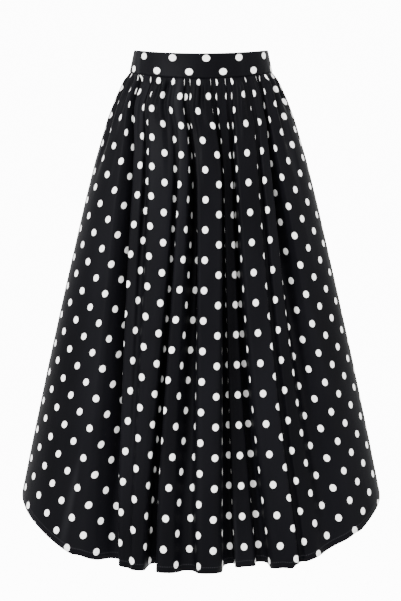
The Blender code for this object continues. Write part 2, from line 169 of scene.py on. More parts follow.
BACK_CREASES: tuple[Crease, ...] = (
    Crease(-0.460, 0.40, 0.26, 0.034, 0.0024, -0.02),
    Crease(-0.265, 0.55, 0.30, 0.036, -0.0024, -0.02),
    Crease(-0.080, 0.30, 0.22, 0.026, 0.0016, 0.01),
    Crease(0.045, 0.60, 0.30, 0.034, 0.0020, 0.02),
    Crease(0.292, 0.44, 0.28, 0.030, 0.0022, 0.02),
    Crease(0.475, 0.60, 0.26, 0.036, -0.0024, 0.03),
)


def smooth_step(value: Array | float) -> Array | float:
    """Eases a value, held between 0 and 1, from 0 to 1."""
    held = np.clip(value, 0.0, 1.0)
    return held * held * (3.0 - 2.0 * held)


def bend(value: Array | float) -> Array | float:
    """Turns from 0 to 1 as rounded cloth does: nearly evenly, and easing only at both ends."""
    return 0.6 * np.clip(value, 0.0, 1.0) + 0.4 * smooth_step(value)


def between(ends: tuple[float, float], level: float) -> float:
    """Value at a share of the drop, from its ends at the seam and at the hem."""
    return ends[0] + (ends[1] - ends[0]) * level


@dataclass
class Shading:
    """The node tree of one material, and the one method that adds its nodes."""

    material: bpy.types.Material

    def node(self, kind: str, settings: dict[str, Any] | None = None, **sockets: Any) -> bpy.types.Node:
        """Adds a node.

        Args:
            kind: The node's type.
            settings: Its own settings, which are set before its sockets; "stops" fills a ramp.
            sockets: Values or Value links by socket name, with _ for a space, or "in0" for a number.

        Returns:
            The node.
        """
        made = self.material.node_tree.nodes.new(kind)
        for name, value in (settings or {}).items():
            if name == "stops":
                ramp = made.color_ramp
                for spot, colour in value[2:]:
                    ramp.elements.new(spot).color = colour
                for element, (spot, colour) in zip((ramp.elements[0], ramp.elements[-1]), value[:2]):
                    element.position = spot
                    element.color = colour
            else:
                setattr(made, name, value)
        for name, value in sockets.items():
            number = name[2:]
            place: Any = int(number) if name.startswith("in") and number.isdigit() else name.replace("_", " ")
            self.feed(made.inputs[place], value)
        return made

    def feed(self, socket: bpy.types.NodeSocket, value: Any) -> None:
        """Links a Value to a socket, or sets the socket's own number or colour."""
        if isinstance(value, Value):
            self.material.node_tree.links.new(value.socket, socket)
        elif isinstance(value, (tuple, list)) and len(value) == 3 and socket.type == "RGBA":
            socket.default_value = (*value, 1.0)
        else:
            socket.default_value = value

    def value(self, node: bpy.types.Node, output: str | int = 0) -> "Value":
        """A node's output as a Value."""
        return Value(self, node.outputs[output])

    def mix(self, factor: Any, first: Any, second: Any) -> "Value":
        """Mixes two colours: the first at factor 0, the second at factor 1."""
        made = self.node("ShaderNodeMix", {"data_type": "RGBA"})
        self.feed(made.inputs[0], factor)
        self.feed(made.inputs[6], first)
        self.feed(made.inputs[7], second)
        return self.value(made, 2)

    def place(self, layer: str) -> tuple["Value", "Value", "Value"]:
        """Coordinates of a UV map: the whole vector, then its two parts."""
        vector = self.value(self.node("ShaderNodeUVMap", {"uv_map": layer}))
        parts = self.node("ShaderNodeSeparateXYZ", None, Vector=vector)
        return vector, self.value(parts, 0), self.value(parts, 1)

    def noise(self, vector: "Value", scale: float, detail: float = 2.0) -> "Value":
        """Soft noise between about 0.2 and 0.8 over a vector."""
        made = self.node("ShaderNodeTexNoise", None, Vector=vector, Scale=scale, Detail=detail)
        return self.value(made, 0)

    def stretched(self, vector: "Value", by: Sequence[float], detail: float) -> "Value":
        """Soft noise over a vector with each part multiplied."""
        made = self.node("ShaderNodeVectorMath", {"operation": "MULTIPLY"}, in0=vector, in1=tuple(by))
        return self.noise(self.value(made), 1.0, detail)

    def bump(self, height: "Value", strength: float, distance: float, **sockets: Any) -> "Value":
        """Normal of a relief."""
        sockets.update(Height=height, Strength=strength, Distance=distance)
        return self.value(self.node("ShaderNodeBump", None, **sockets))

    def dress(self, shader: bpy.types.Node, **sockets: Any) -> bpy.types.Material:
        """Feeds the Principled node's sockets, named with _ for a space, and gives the material."""
        for name, value in sockets.items():
            self.feed(shader.inputs[name.replace("_", " ")], value)
        return self.material


@dataclass(frozen=True)
class Value:
    """A shader socket that arithmetic works on: each operation adds a Math node."""

    shading: Shading
    socket: bpy.types.NodeSocket

    def math(self, operation: str, *others: Any) -> "Value":
        """Adds a Math node on this value and others."""
        sockets = {f"in{i + 1}": other for i, other in enumerate(others)}
        made = self.shading.node("ShaderNodeMath", {"operation": operation}, in0=self, **sockets)
        return self.shading.value(made)

    def __add__(self, other: Any) -> "Value":
        """Sum."""
        return self.math("ADD", other)

    def __sub__(self, other: Any) -> "Value":
        """Difference."""
        return self.math("SUBTRACT", other)

    def __rsub__(self, other: float) -> "Value":
        """A number less this value."""
        return self.math("MULTIPLY_ADD", -1.0, other)

    def __mul__(self, other: Any) -> "Value":
        """Product."""
        return self.math("MULTIPLY", other)

    def __truediv__(self, other: Any) -> "Value":
        """Quotient."""
        return self.math("DIVIDE", other)

    def ease(self, low: float, high: float) -> "Value":
        """Eases from 0 at low to 1 at high."""
        made = self.shading.node("ShaderNodeMapRange", {"interpolation_type": "SMOOTHSTEP"},
                                 Value=self, From_Min=low, From_Max=high)
        return self.shading.value(made)

    def wave(self, pitch: float) -> "Value":
        """Sine of the value with this pitch."""
        return (self * (2 * math.pi / pitch)).math("SINE")


def new_material(name: str) -> tuple[Shading, bpy.types.Node]:
    """Makes an empty Principled material, and gives its shading and its Principled node."""
    material = bpy.data.materials.new(name)
    material.use_nodes = True
    return Shading(material), material.node_tree.nodes["Principled BSDF"]


@dataclass(frozen=True)
class DottedSatin:
    """Black satin-weave cotton printed with staggered off-white dots."""

    repeat_across: float = 0.0520
    repeat_down: float = 0.0524
    radius: float = 0.0062
    squeeze: tuple[float, float] = (1.12, 1.0)
    first_across: float = 0.0090
    first_down: float = 0.008
    weave_pitch: float = 0.0009
    hem_line: float = 0.0105
    stitch_pitch: float = 0.0030
    deep: Triple = (0.0015, 0.0015, 0.0021)
    bright: Triple = (0.0034, 0.0034, 0.0045)
    # Colour of the painted sheen: lighter streaks that stand in for satin highlights.
    painted_sheen_colour: Triple = (0.0095, 0.0096, 0.0110)
    dot: Triple = (0.930, 0.925, 0.910)
    dot_worn: Triple = (0.840, 0.832, 0.815)
    thread: Triple = (0.030, 0.030, 0.034)
    print_edge: float = 0.00035
    clouds: Triple = (9.0, 2.6, 1.0)
    slubs: Triple = (90.0, 900.0, 1.0)
    highlights: Triple = (19.0, 1.7, 1.0)
    crinkles: Triple = (26.0, 8.0, 1.0)
    gathers: Triple = (150.0, 9.0, 1.0)
    specular: float = 0.022

    def dot_mask(self, shading: Shading, across: Value, down: Value, ragged: Value) -> Value:
        """Where the printed dots lie.

        Args:
            shading: The material's shading; not used.
            across: Distance across the cloth in metres.
            down: Distance down the cloth in metres.
            ragged: Small unevenness of the printed edge in metres.

        Returns:
            1 in a dot and 0 outside, with a soft printed edge.
        """
        nearest: Value | None = None
        for shift in (0.0, 0.5):
            parts = []
            for length, repeat, first, squeeze in (
                (across, self.repeat_across, self.first_across, self.squeeze[0]),
                (down, self.repeat_down, self.first_down, self.squeeze[1]),
            ):
                turned = ((length - first) / repeat + (100.5 + shift)).math("FRACT") - 0.5
                parts.append(turned * (repeat * squeeze))
            far = (parts[0] * parts[0] + parts[1] * parts[1]).math("SQRT")
            nearest = far if nearest is None else nearest.math("MINIMUM", far)
        assert nearest is not None
        return 1 - (nearest + ragged).ease(self.radius - self.print_edge, self.radius + self.print_edge)

    def make(self, name: str, hemmed: bool) -> bpy.types.Material:
        """Makes the material.

        Args:
            name: The material's name.
            hemmed: Whether the piece has a stitched hem.

        Returns:
            The material.
        """
        shading, satin = new_material(name)
        vector, across, down = shading.place(CLOTH_MAP)
        ragged = (shading.noise(vector, 420.0, 1.0) - 0.5) * 0.0006
        dots = self.dot_mask(shading, across, down, ragged)
        cloudy = shading.stretched(vector, self.clouds, 3.0)
        slub = shading.stretched(vector, self.slubs, 1.0)
        ground = shading.mix(cloudy.ease(0.30, 0.72), self.deep, self.bright)
        # Painted sheen: soft lighter streaks stretched down the cloth are painted into the base colour as
        # satin highlights.
        painted_sheen = shading.stretched(vector, self.highlights, 2.0).ease(0.60, 0.80)
        ground = shading.mix(painted_sheen * 0.8, ground, self.painted_sheen_colour)
        print_colour = shading.mix(slub.ease(0.40, 0.75), self.dot, self.dot_worn)
        colour = shading.mix(dots, ground, print_colour)
        diagonal = (across + down * 0.5).wave(self.weave_pitch)
        floats = across.wave(self.weave_pitch * 0.5) * down.wave(self.weave_pitch * 1.6)
        relief = diagonal * 0.35 + floats * 0.35 + slub * 0.5 - dots * 0.25
        crinkle = shading.stretched(vector, self.crinkles, 3.0)
        if hemmed:
            _, along, from_hem = shading.place(HEM_MAP)
            line = 1 - (from_hem - self.hem_line).math("ABSOLUTE").ease(0.00025, 0.00075)
            dashes = along.wave(self.stitch_pitch).ease(-0.5, 0.1)
            relief = relief + line * dashes * 6.0 - line * 2.5
            colour = shading.mix(line * dashes * 0.5, colour, self.thread)
            gathers = shading.stretched(vector, self.gathers, 2.0)
            crinkle = crinkle + gathers * (1 - down.ease(0.02, 0.20)) * 0.9
        rumple = shading.bump(crinkle, 0.30, 0.0035)
        return shading.dress(satin, Base_Color=colour, Specular_IOR_Level=self.specular,
                             Roughness=cloudy * 0.10 + slub * 0.06 + dots * 0.10 + 0.40,
                             Normal=shading.bump(relief, 0.22, 0.00012, Normal=rumple))


@dataclass(frozen=True)
class ZipCloth:
    """Matt black woven polyester of the zip's tape."""

    rib_pitch: float = 0.0008
    fuzz: Triple = (700.0, 700.0, 1.0)
    colour: Triple = (0.014, 0.014, 0.016)
    worn: Triple = (0.026, 0.026, 0.030)

    def make(self, name: str) -> bpy.types.Material:
        """Makes the material under a name."""
        shading, cloth = new_material(name)
        vector, across, down = shading.place(CLOTH_MAP)
        fuzz = shading.stretched(vector, self.fuzz, 1.0)
        ribs = across.wave(self.rib_pitch) * 0.5 + down.wave(self.rib_pitch * 0.8) * 0.5
        return shading.dress(cloth, Roughness=fuzz * 0.15 + 0.68,
                             Base_Color=shading.mix(fuzz.ease(0.35, 0.75), self.colour, self.worn),
                             Normal=shading.bump(ribs + fuzz, 0.35, 0.00015))


@dataclass(frozen=True)
class Enamel:
    """Black enamel on cast metal, rubbed a little brighter at random spots."""

    colour: Triple = (0.016, 0.016, 0.018)
    rubbed: Triple = (0.060, 0.060, 0.066)
    roughness: float = 0.26

    def make(self, name: str) -> bpy.types.Material:
        """Makes the material under a name."""
        shading, enamel = new_material(name)
        place = shading.value(shading.node("ShaderNodeTexCoord"), "Object")
        rub = shading.noise(place, 900.0, 3.0).ease(0.60, 0.75)
        grain = shading.noise(place, 4200.0, 1.0)
        return shading.dress(enamel, Coat_Weight=0.30, Coat_Roughness=0.12,
                             Base_Color=shading.mix(rub * 0.6, self.colour, self.rubbed),
                             Roughness=rub * 0.12 + grain * 0.08 + self.roughness,
                             Normal=shading.bump(grain, 0.12, 0.0001))


@dataclass(frozen=True)
class Sheet:
    """A closed thin shell: outer and inner point grids with their cloth and hem coordinates."""

    outer: Array
    inner: Array
    cloth: Array
    from_hem: Array

    def mesh(self, name: str, outward_along_rows: bool) -> bpy.types.Mesh:
        """Builds the shell.

        Args:
            name: The mesh's name.
            outward_along_rows: Whether the grid's own winding faces out.

        Returns:
            The mesh, with its cloth, hem and bake maps.
        """
        rows, width = self.outer.shape[:2]
        count = rows * width
        points = np.concatenate((self.outer.reshape(-1, 3), self.inner.reshape(-1, 3)))
        index = np.arange(count).reshape(rows, width)
        around = (index[:-1, :-1], index[:-1, 1:], index[1:, 1:], index[1:, :-1])
        quads = np.stack(around, axis=-1).reshape(-1, 4)
        edge = np.concatenate((index[0, :], index[1:, -1], index[-1, -2::-1], index[-2:0:-1, 0]))
        ahead = np.roll(edge, -1)
        rim = np.stack((ahead, edge, edge + count, ahead + count), axis=-1)
        faces = np.concatenate((quads, quads[:, ::-1] + count, rim))
        if not outward_along_rows:
            faces = faces[:, ::-1]
        mesh = bpy.data.meshes.new(name)
        mesh.from_pydata(points.tolist(), [], faces.tolist())
        plain = faces.reshape(-1) % count
        cloth = self.cloth.reshape(-1, 2)[plain]
        hem = np.stack((self.cloth[:, :, 0], self.from_hem), axis=-1).reshape(-1, 2)[plain]
        bake = self.bake_map(plain, len(quads) * 4, outward_along_rows)
        for layer, data in ((CLOTH_MAP, cloth), (HEM_MAP, hem), (BAKE_MAP, bake)):
            mesh.uv_layers.new(name=layer).data.foreach_set("uv", data.astype(np.float32).ravel())
        mesh.shade_smooth()
        mesh.validate()
        return mesh

    def bake_map(self, plain: Array, size: int, outward_along_rows: bool) -> Array:
        """Lays the outer face, the inner face and the rim in three strips of one square.

        Args:
            plain: Grid point of each corner of each face.
            size: How many of the corners each of the two grids has.
            outward_along_rows: Whether the grid's own winding faces out.

        Returns:
            The place of each corner.
        """
        rows, width = self.outer.shape[:2]
        down, side = np.meshgrid(np.linspace(0.0, 1.0, rows), np.linspace(0.0, 1.0, width), indexing="ij")
        bake = np.stack((side, down), axis=-1).reshape(-1, 2)[plain]
        margin, height = 0.005, 0.470
        bake[:size, 1] = margin + bake[:size, 1] * height
        bake[size:2 * size, 1] = 0.5 + margin + bake[size:2 * size, 1] * height
        bake[:, 0] = margin + bake[:, 0] * 0.990
        rim = (len(plain) - 2 * size) // 4
        strip = np.arange(rim) / rim
        step = 1 / rim
        low, high = 0.985, 0.995
        for corner, (shift, level) in enumerate(((step, low), (0, low), (0, high), (step, high))):
            place = corner if outward_along_rows else 3 - corner
            bake[2 * size + place::4, 0] = strip + shift
            bake[2 * size + place::4, 1] = level
        return bake


def add_object(name: str, data: bpy.types.ID) -> bpy.types.Object:
    """Makes an object of some data and links it to the scene."""
    made = bpy.data.objects.new(name, data)
    bpy.context.scene.collection.objects.link(made)
    return made


def add_piece(name: str, mesh: bpy.types.Mesh, material: bpy.types.Material) -> bpy.types.Object:
    """Adds a piece with its finish in a material slot, and lets it ride on the skirt."""
    piece = add_object(name, mesh)
    piece.data.materials.append(material)
    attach(piece, "skirt")
    log.info("%s: %d vertices", name, len(mesh.vertices))
    return piece


@dataclass
class WornForm:
    """The worn skirt's rings and its waist seam and hem lines."""

    rings: Array = field(default_factory=lambda: np.array(RINGS))
    hem_side: float = -0.772
    hem_drop: float = 0.1240
    seam_side: float = -0.0197
    seam_drops: tuple[float, float] = (0.0232, 0.0040)
    edge_bend: float = 1.3
    hem_bend: float = 1.45
    hem_ratio: float = 0.48
    inset: float = 0.0012
    seam_gap: float = 0.0
    turn_steps: int = 240
    ratio_steps: int = 8

    def edge(self, side_height: float, drop: float, bearing: Array) -> Array:
        """Height of a tilted edge line.

        Args:
            side_height: Height at the sides.
            drop: How much lower the middle is.
            bearing: Bearing from the middle in radians.

        Returns:
            The heights.
        """
        return side_height - drop * np.maximum(np.cos(bearing), 0.0) ** self.edge_bend

    def hem(self, bearing: Array) -> Array:
        """Height of the shirt-tail hem: it curves in at the sides and is full and even in the middle."""
        towards_middle = np.maximum(np.cos(bearing), 0.0)
        fullness = towards_middle ** self.hem_bend + towards_middle ** 4 * (1 - towards_middle)
        return self.hem_side - self.hem_drop * fullness

    def seam_drop(self, facing: Facing) -> float:
        """Drop of the waist seam's middle on one half."""
        return self.seam_drops[0] if facing is Facing.FRONT else self.seam_drops[1]

    def bearing(self, share: Array, ratio: Array | float) -> Array:
        """Bearing at a signed share of a half ellipse's length.

        Args:
            share: From -1 at the left side to 1 at the right side.
            ratio: Depth to width of the ellipse, one number or one for each share.

        Returns:
            The bearings in radians.
        """
        turns = np.linspace(-math.pi / 2, math.pi / 2, self.turn_steps + 1)
        ratios = np.atleast_1d(ratio)
        levels = np.linspace(ratios.min(), ratios.max() + TINY, self.ratio_steps + 1)
        table = []
        for level in levels:
            steps = np.hypot(np.cos(turns), level * np.sin(turns))
            lengths = np.concatenate(([0.0], np.cumsum((steps[1:] + steps[:-1]) / 2)))
            table.append(np.interp((share + 1) / 2 * lengths[-1], lengths, turns))
        place = (ratios - levels[0]) / (levels[-1] - levels[0]) * self.ratio_steps
        place = np.clip(place, 0, self.ratio_steps - TINY)
        low = place.astype(int)
        rest = place - low
        found = np.array(table)
        columns = np.arange(found.shape[1])
        return found[low, columns] * (1 - rest) + found[low + 1, columns] * rest

    def ring(self, height: Array, facing: Facing) -> tuple[Array, Array]:
        """Half width and half depth of the cloth's outside at some heights."""
        column = 2 if facing is Facing.FRONT else 3
        half_width = np.interp(-height, -self.rings[:, 0], self.rings[:, 1]) - self.inset
        return half_width, np.interp(-height, -self.rings[:, 0], self.rings[:, column]) - self.inset


@dataclass
class SkirtPanel:
    """Gathered cloth of the front or of the back: large folds, gathers and soft creases."""

    form: WornForm
    facing: Facing
    folds: tuple[Fold, ...]
    creases: tuple[Crease, ...]
    seed: float
    flat_middle: float = 0.0
    print_shift: float = 0.0
    cloth_width: float = 1.03
    gathers: int = 34
    gather_angle: float = math.radians(74.0)
    gather_start: float = 0.020
    gather_reach: float = 0.190
    seam_depth: float = 0.14
    seam_reach: float = 0.024
    seam_join: float = 0.012
    fold_seam_depth: float = 0.12
    fold_reach: float = 0.30
    crest_bends: tuple[float, float] = (0.008, 0.026)
    valley_bends: tuple[float, float] = (0.008, 0.018)
    longest_bend: float = 0.48
    seam_half_length: float = 0.175
    flat_ease: float = 0.016
    columns: int = 408
    rows: int = 118
    wall: float = 0.0007
    hem_wall: float = 0.0015
    hem_height: float = 0.0110
    side_fade: float = 0.07
    hem_lift: float = 0.22
    shallow: float = 0.015
    hem_lobe: float = 0.005
    ripple: float = 0.0009
    ripple_reach: float = 0.2
    steps: int = 4

    def fold_angle(self, cloth: Array, level: float) -> tuple[Array, Array]:
        """Angle that the folded cloth makes with its ring.

        Args:
            cloth: Distance across the cloth from the panel's middle.
            level: Share of the drop.

        Returns:
            The angles in radians, and how far the folds take the cloth up.
        """
        angle = np.zeros_like(cloth)
        taken = np.zeros_like(cloth)
        for fold in self.folds:
            start, end = fold.edges(level)
            steep = fold.steepness(level)
            lean = fold.lean * float(smooth_step(level / OVERHANG_REACH))
            down = math.radians(steep + lean)
            back = math.radians(steep - lean)
            valley_place = start + (end - start) * math.sin(back) / (math.sin(down) + math.sin(back))
            shorter_wall = min(valley_place - start, end - valley_place)
            crest = min(between(self.crest_bends, level ** 2), self.longest_bend * shorter_wall)
            valley = min(between(self.valley_bends, level ** 2), self.longest_bend * shorter_wall)
            falling = bend((cloth - start) / crest) * bend((valley_place - cloth) / valley)
            rising = bend((cloth - valley_place) / valley) * bend((end - cloth) / crest)
            angle += back * rising - down * falling
            taken += smooth_step((cloth - start) / crest + 1) * smooth_step((end - cloth) / crest + 1)
        return angle, np.minimum(taken, 1.0)

    def uneven(self, number: Array, pace: float) -> Array:
        """Unevenness between -1 and 1 that is the same each time, and another one for each pace."""
        return np.sin(number * pace + self.seed)

    def gather(self, cloth: Array, level: float) -> Array:
        """Angle of the small gathers: each falls from its crest and rises to the next.

        Args:
            cloth: Distance across the cloth from the panel's middle.
            level: Share of the drop.

        Returns:
            The angles in radians.
        """
        number = (cloth / self.cloth_width + 0.5) * self.gathers
        number = number + 0.20 * self.uneven(number, 2.1) * np.sin(math.pi * number / self.gathers)
        whole = np.floor(number)
        reach = self.gather_reach * (1.0 + 0.35 * self.uneven(whole, 1.7) + 0.20 * np.sin(whole * 2.9))
        fade = 1 - smooth_step((level - self.gather_start) / reach)
        steep = 0.90 + 0.10 * self.uneven(whole, 2.4)
        return -self.gather_angle * fade * steep * np.sin(2 * math.pi * number)

    def fold_depth(self, cloth: Array, fold: Array, level: float) -> Array:
        """Depth of the large folds, each of which ends at its own rest depth."""
        depth = self.summed(np.sin(fold))
        edges = [cloth[0]]
        rests = [0.0]
        for item in self.folds:
            edges.extend(item.edges(level))
            rests.extend((rests[-1], item.rest))
        return depth - np.interp(cloth, edges, np.interp(edges, cloth, depth) - np.array(rests))

    def soft(self, cloth: Array, level: float) -> Array:
        """Depth of the soft creases at one row."""
        depth = np.zeros_like(cloth)
        for crease in self.creases:
            down = (level - crease.down) / crease.length
            if abs(down) >= 1:
                continue
            middle = crease.across + crease.slant * down
            depth += crease.depth * (1 - down * down) ** 2 * np.exp(-(((cloth - middle) / crease.width) ** 2))
        wander = np.sin(cloth * 47.0 + self.seed + 1.6 * math.sin(level * 5.0))
        ripple = wander * np.sin(cloth * 21.0 + level * 3.0)
        return depth + self.ripple * ripple * smooth_step(level / self.ripple_reach)

    def centred(self, share: Array) -> Array:
        """Keeps the middle column on the middle plane."""
        middle = share[self.columns // 2]
        left = -1 + (share + 1) / (middle + 1)
        right = (share - middle) / (1 - middle)
        return np.where(share < middle, left, right)

    def summed(self, slopes: Array) -> Array:
        """Running sum of a slope along the cloth, in metres."""
        middle = (slopes[1:] + slopes[:-1]) / 2
        return np.concatenate(([0.0], np.cumsum(middle))) * self.cloth_width / (self.columns * self.steps)

    def row(self, level: float) -> tuple[Array, Array]:
        """One row of the cloth.

        Args:
            level: Share of the drop.

        Returns:
            The points as worn, and the points of the bare rings under them.
        """
        cloth = np.linspace(-self.cloth_width / 2, self.cloth_width / 2, self.columns * self.steps + 1)
        fold, taken = self.fold_angle(cloth, level)
        gather = self.gather(cloth, level) * (1 - taken)
        along = self.summed(np.cos(fold + gather))
        gather_depth = self.summed(np.sin(gather))
        gather_depth -= np.linspace(0.0, gather_depth[-1], len(cloth))
        grown = float(smooth_step(level / self.fold_reach))
        fold_share = self.fold_seam_depth + (1 - self.fold_seam_depth) * grown
        opened = float(smooth_step(level / self.seam_reach))
        gather_share = self.seam_depth + (1 - self.seam_depth) * opened
        depth = self.fold_depth(cloth, fold, level) * fold_share + gather_depth * gather_share
        depth = (depth + self.soft(cloth, level)) * float(smooth_step(level / self.seam_join))
        along, depth, cloth = along[::self.steps], depth[::self.steps], cloth[::self.steps]
        share = 2 * along / along[-1] - 1
        calm = np.ones_like(share)
        if self.flat_middle > 0:
            share = self.centred(share)
            calm = smooth_step((np.abs(share) * self.seam_half_length - self.flat_middle) / self.flat_ease)
        ends = smooth_step((1 - np.abs(share)) / self.side_fade)
        lobe = self.hem_lobe * (1 - taken[::self.steps]) * ends * calm * level ** 4
        return self.place(share, depth * ends * calm, level, lobe)

    def place(self, share: Array, depth: Array, level: float, lobe: Array) -> tuple[Array, Array]:
        """Puts a row on the rings.

        Args:
            share: Signed share of the half ring at each column.
            depth: Distance out of the ring at each column.
            level: Share of the drop.
            lobe: How much lower the cloth hangs on the ridges near the hem.

        Returns:
            The points as worn, and the points of the bare rings.
        """
        form = self.form
        drop = form.seam_drop(self.facing)
        seam_bearing = form.bearing(share, form.rings[0, 2] / form.rings[0, 1])
        top = form.edge(form.seam_side, drop, seam_bearing) - form.seam_gap
        hem = form.hem(form.bearing(share, form.hem_ratio))
        deep = np.minimum(depth + self.shallow, 0.0)
        height = top + (hem - top) * level - self.hem_lift * deep * level ** 4 - lobe
        shifted = height + form.edge(0.0, -drop, seam_bearing) * (1 - level)
        half_width, half_depth = form.ring(shifted, self.facing)
        turn = form.bearing(share, half_depth / half_width)
        across = half_width * np.sin(turn)
        out = half_depth * np.cos(turn)
        normal = np.stack((half_depth * np.sin(turn), half_width * np.cos(turn)), axis=1)
        normal /= np.linalg.norm(normal, axis=1, keepdims=True)
        bare = np.stack((across, out, height), axis=1)
        worn = bare.copy()
        worn[:, :2] += normal * depth[:, None]
        # Front and back meet at the side seams.
        worn[(0, -1), 1] = form.seam_gap
        return worn, bare

    def grids(self) -> Grids:
        """Outer, inner, cloth and hem grids of the whole half."""
        spread = np.linspace(0.0, 1.0, self.rows)
        levels = 0.45 * spread + 0.55 * spread ** 1.7
        rows = [self.row(float(level)) for level in levels]
        outer = np.array([worn for worn, _ in rows])
        bare = np.array([base for _, base in rows])
        down = np.concatenate((np.zeros((1, bare.shape[1])),
                               np.cumsum(np.linalg.norm(np.diff(bare, axis=0), axis=2), axis=0)))
        from_hem = down[-1] - down
        normal = np.cross(np.gradient(outer, axis=1), np.gradient(outer, axis=0))
        normal /= np.linalg.norm(normal, axis=2, keepdims=True)
        if normal[self.rows // 2, self.columns // 2, 1] < 0:
            normal = -normal
        normal[:, 0] = (-1.0, 0.0, 0.0)
        normal[:, -1] = (1.0, 0.0, 0.0)
        if self.flat_middle > 0:
            normal[:, self.columns // 2] = (0.0, 1.0, 0.0)
        turned_up = smooth_step((self.hem_height - from_hem) / 0.002 + 0.5)
        thick = self.wall + (self.hem_wall - self.wall) * turned_up
        inner = outer - normal * thick[:, :, None]
        inner[0, :, 2] = outer[0, :, 2]
        line = np.linspace(-self.cloth_width / 2, self.cloth_width / 2, self.columns + 1) + self.print_shift
        across = np.broadcast_to(line, down.shape)
        outer[:, :, 1] *= self.facing.value
        inner[:, :, 1] *= self.facing.value
        return outer, inner, np.stack((across, down), axis=-1), from_hem

    def sheet(self, cut: Cut, grids: Grids) -> Sheet:
        """The stretch of the half that one cut piece covers."""
        middle = self.columns // 2
        spans = {Cut.WHOLE: (0, self.columns), Cut.LEFT: (0, middle), Cut.RIGHT: (middle, self.columns)}
        first, last = spans[cut]
        outer, inner, cloth, from_hem = (grid[:, first:last + 1].copy() for grid in grids)
        if cut is not Cut.WHOLE:
            column, sign = (-1, -1) if cut is Cut.LEFT else (0, 1)
            outer[:, column, 0] = sign * self.form.seam_gap
            inner[:, column, 0] = sign * self.form.seam_gap
        return Sheet(outer, inner, cloth, from_hem)


@dataclass
class Skirt:
    """The gathered skirt below the waistband: a front panel and two back panels."""

    form: WornForm
    satin: DottedSatin = DottedSatin()

    def build(self) -> Pieces:
        """Builds the three panels."""
        finish = self.satin.make("skirt_dotted_satin", True)
        front = SkirtPanel(self.form, Facing.FRONT, FRONT_FOLDS, FRONT_CREASES, 0.4)
        back = SkirtPanel(self.form, Facing.BACK, BACK_FOLDS, BACK_CREASES, 1.9,
                          flat_middle=0.014, print_shift=0.021)
        plan = (
            (front, Cut.WHOLE, "front_panel", "skirt_front", (1.03, 0.90), 0.91),
            (back, Cut.LEFT, "back_panel_left", "skirt_back_left", (0.515, 0.90), 0.455),
            (back, Cut.RIGHT, "back_panel_right", "skirt_back_right", (0.515, 0.90), 0.455),
        )
        pieces = []
        grids = {id(panel): panel.grids() for panel in (front, back)}
        for panel, cut, name, node, flat, area in plan:
            mesh = panel.sheet(cut, grids[id(panel)]).mesh(name, panel.facing is Facing.BACK)
            piece = add_piece(name, mesh, finish)
            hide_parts(node)
            pieces.append(piece)
        return pieces


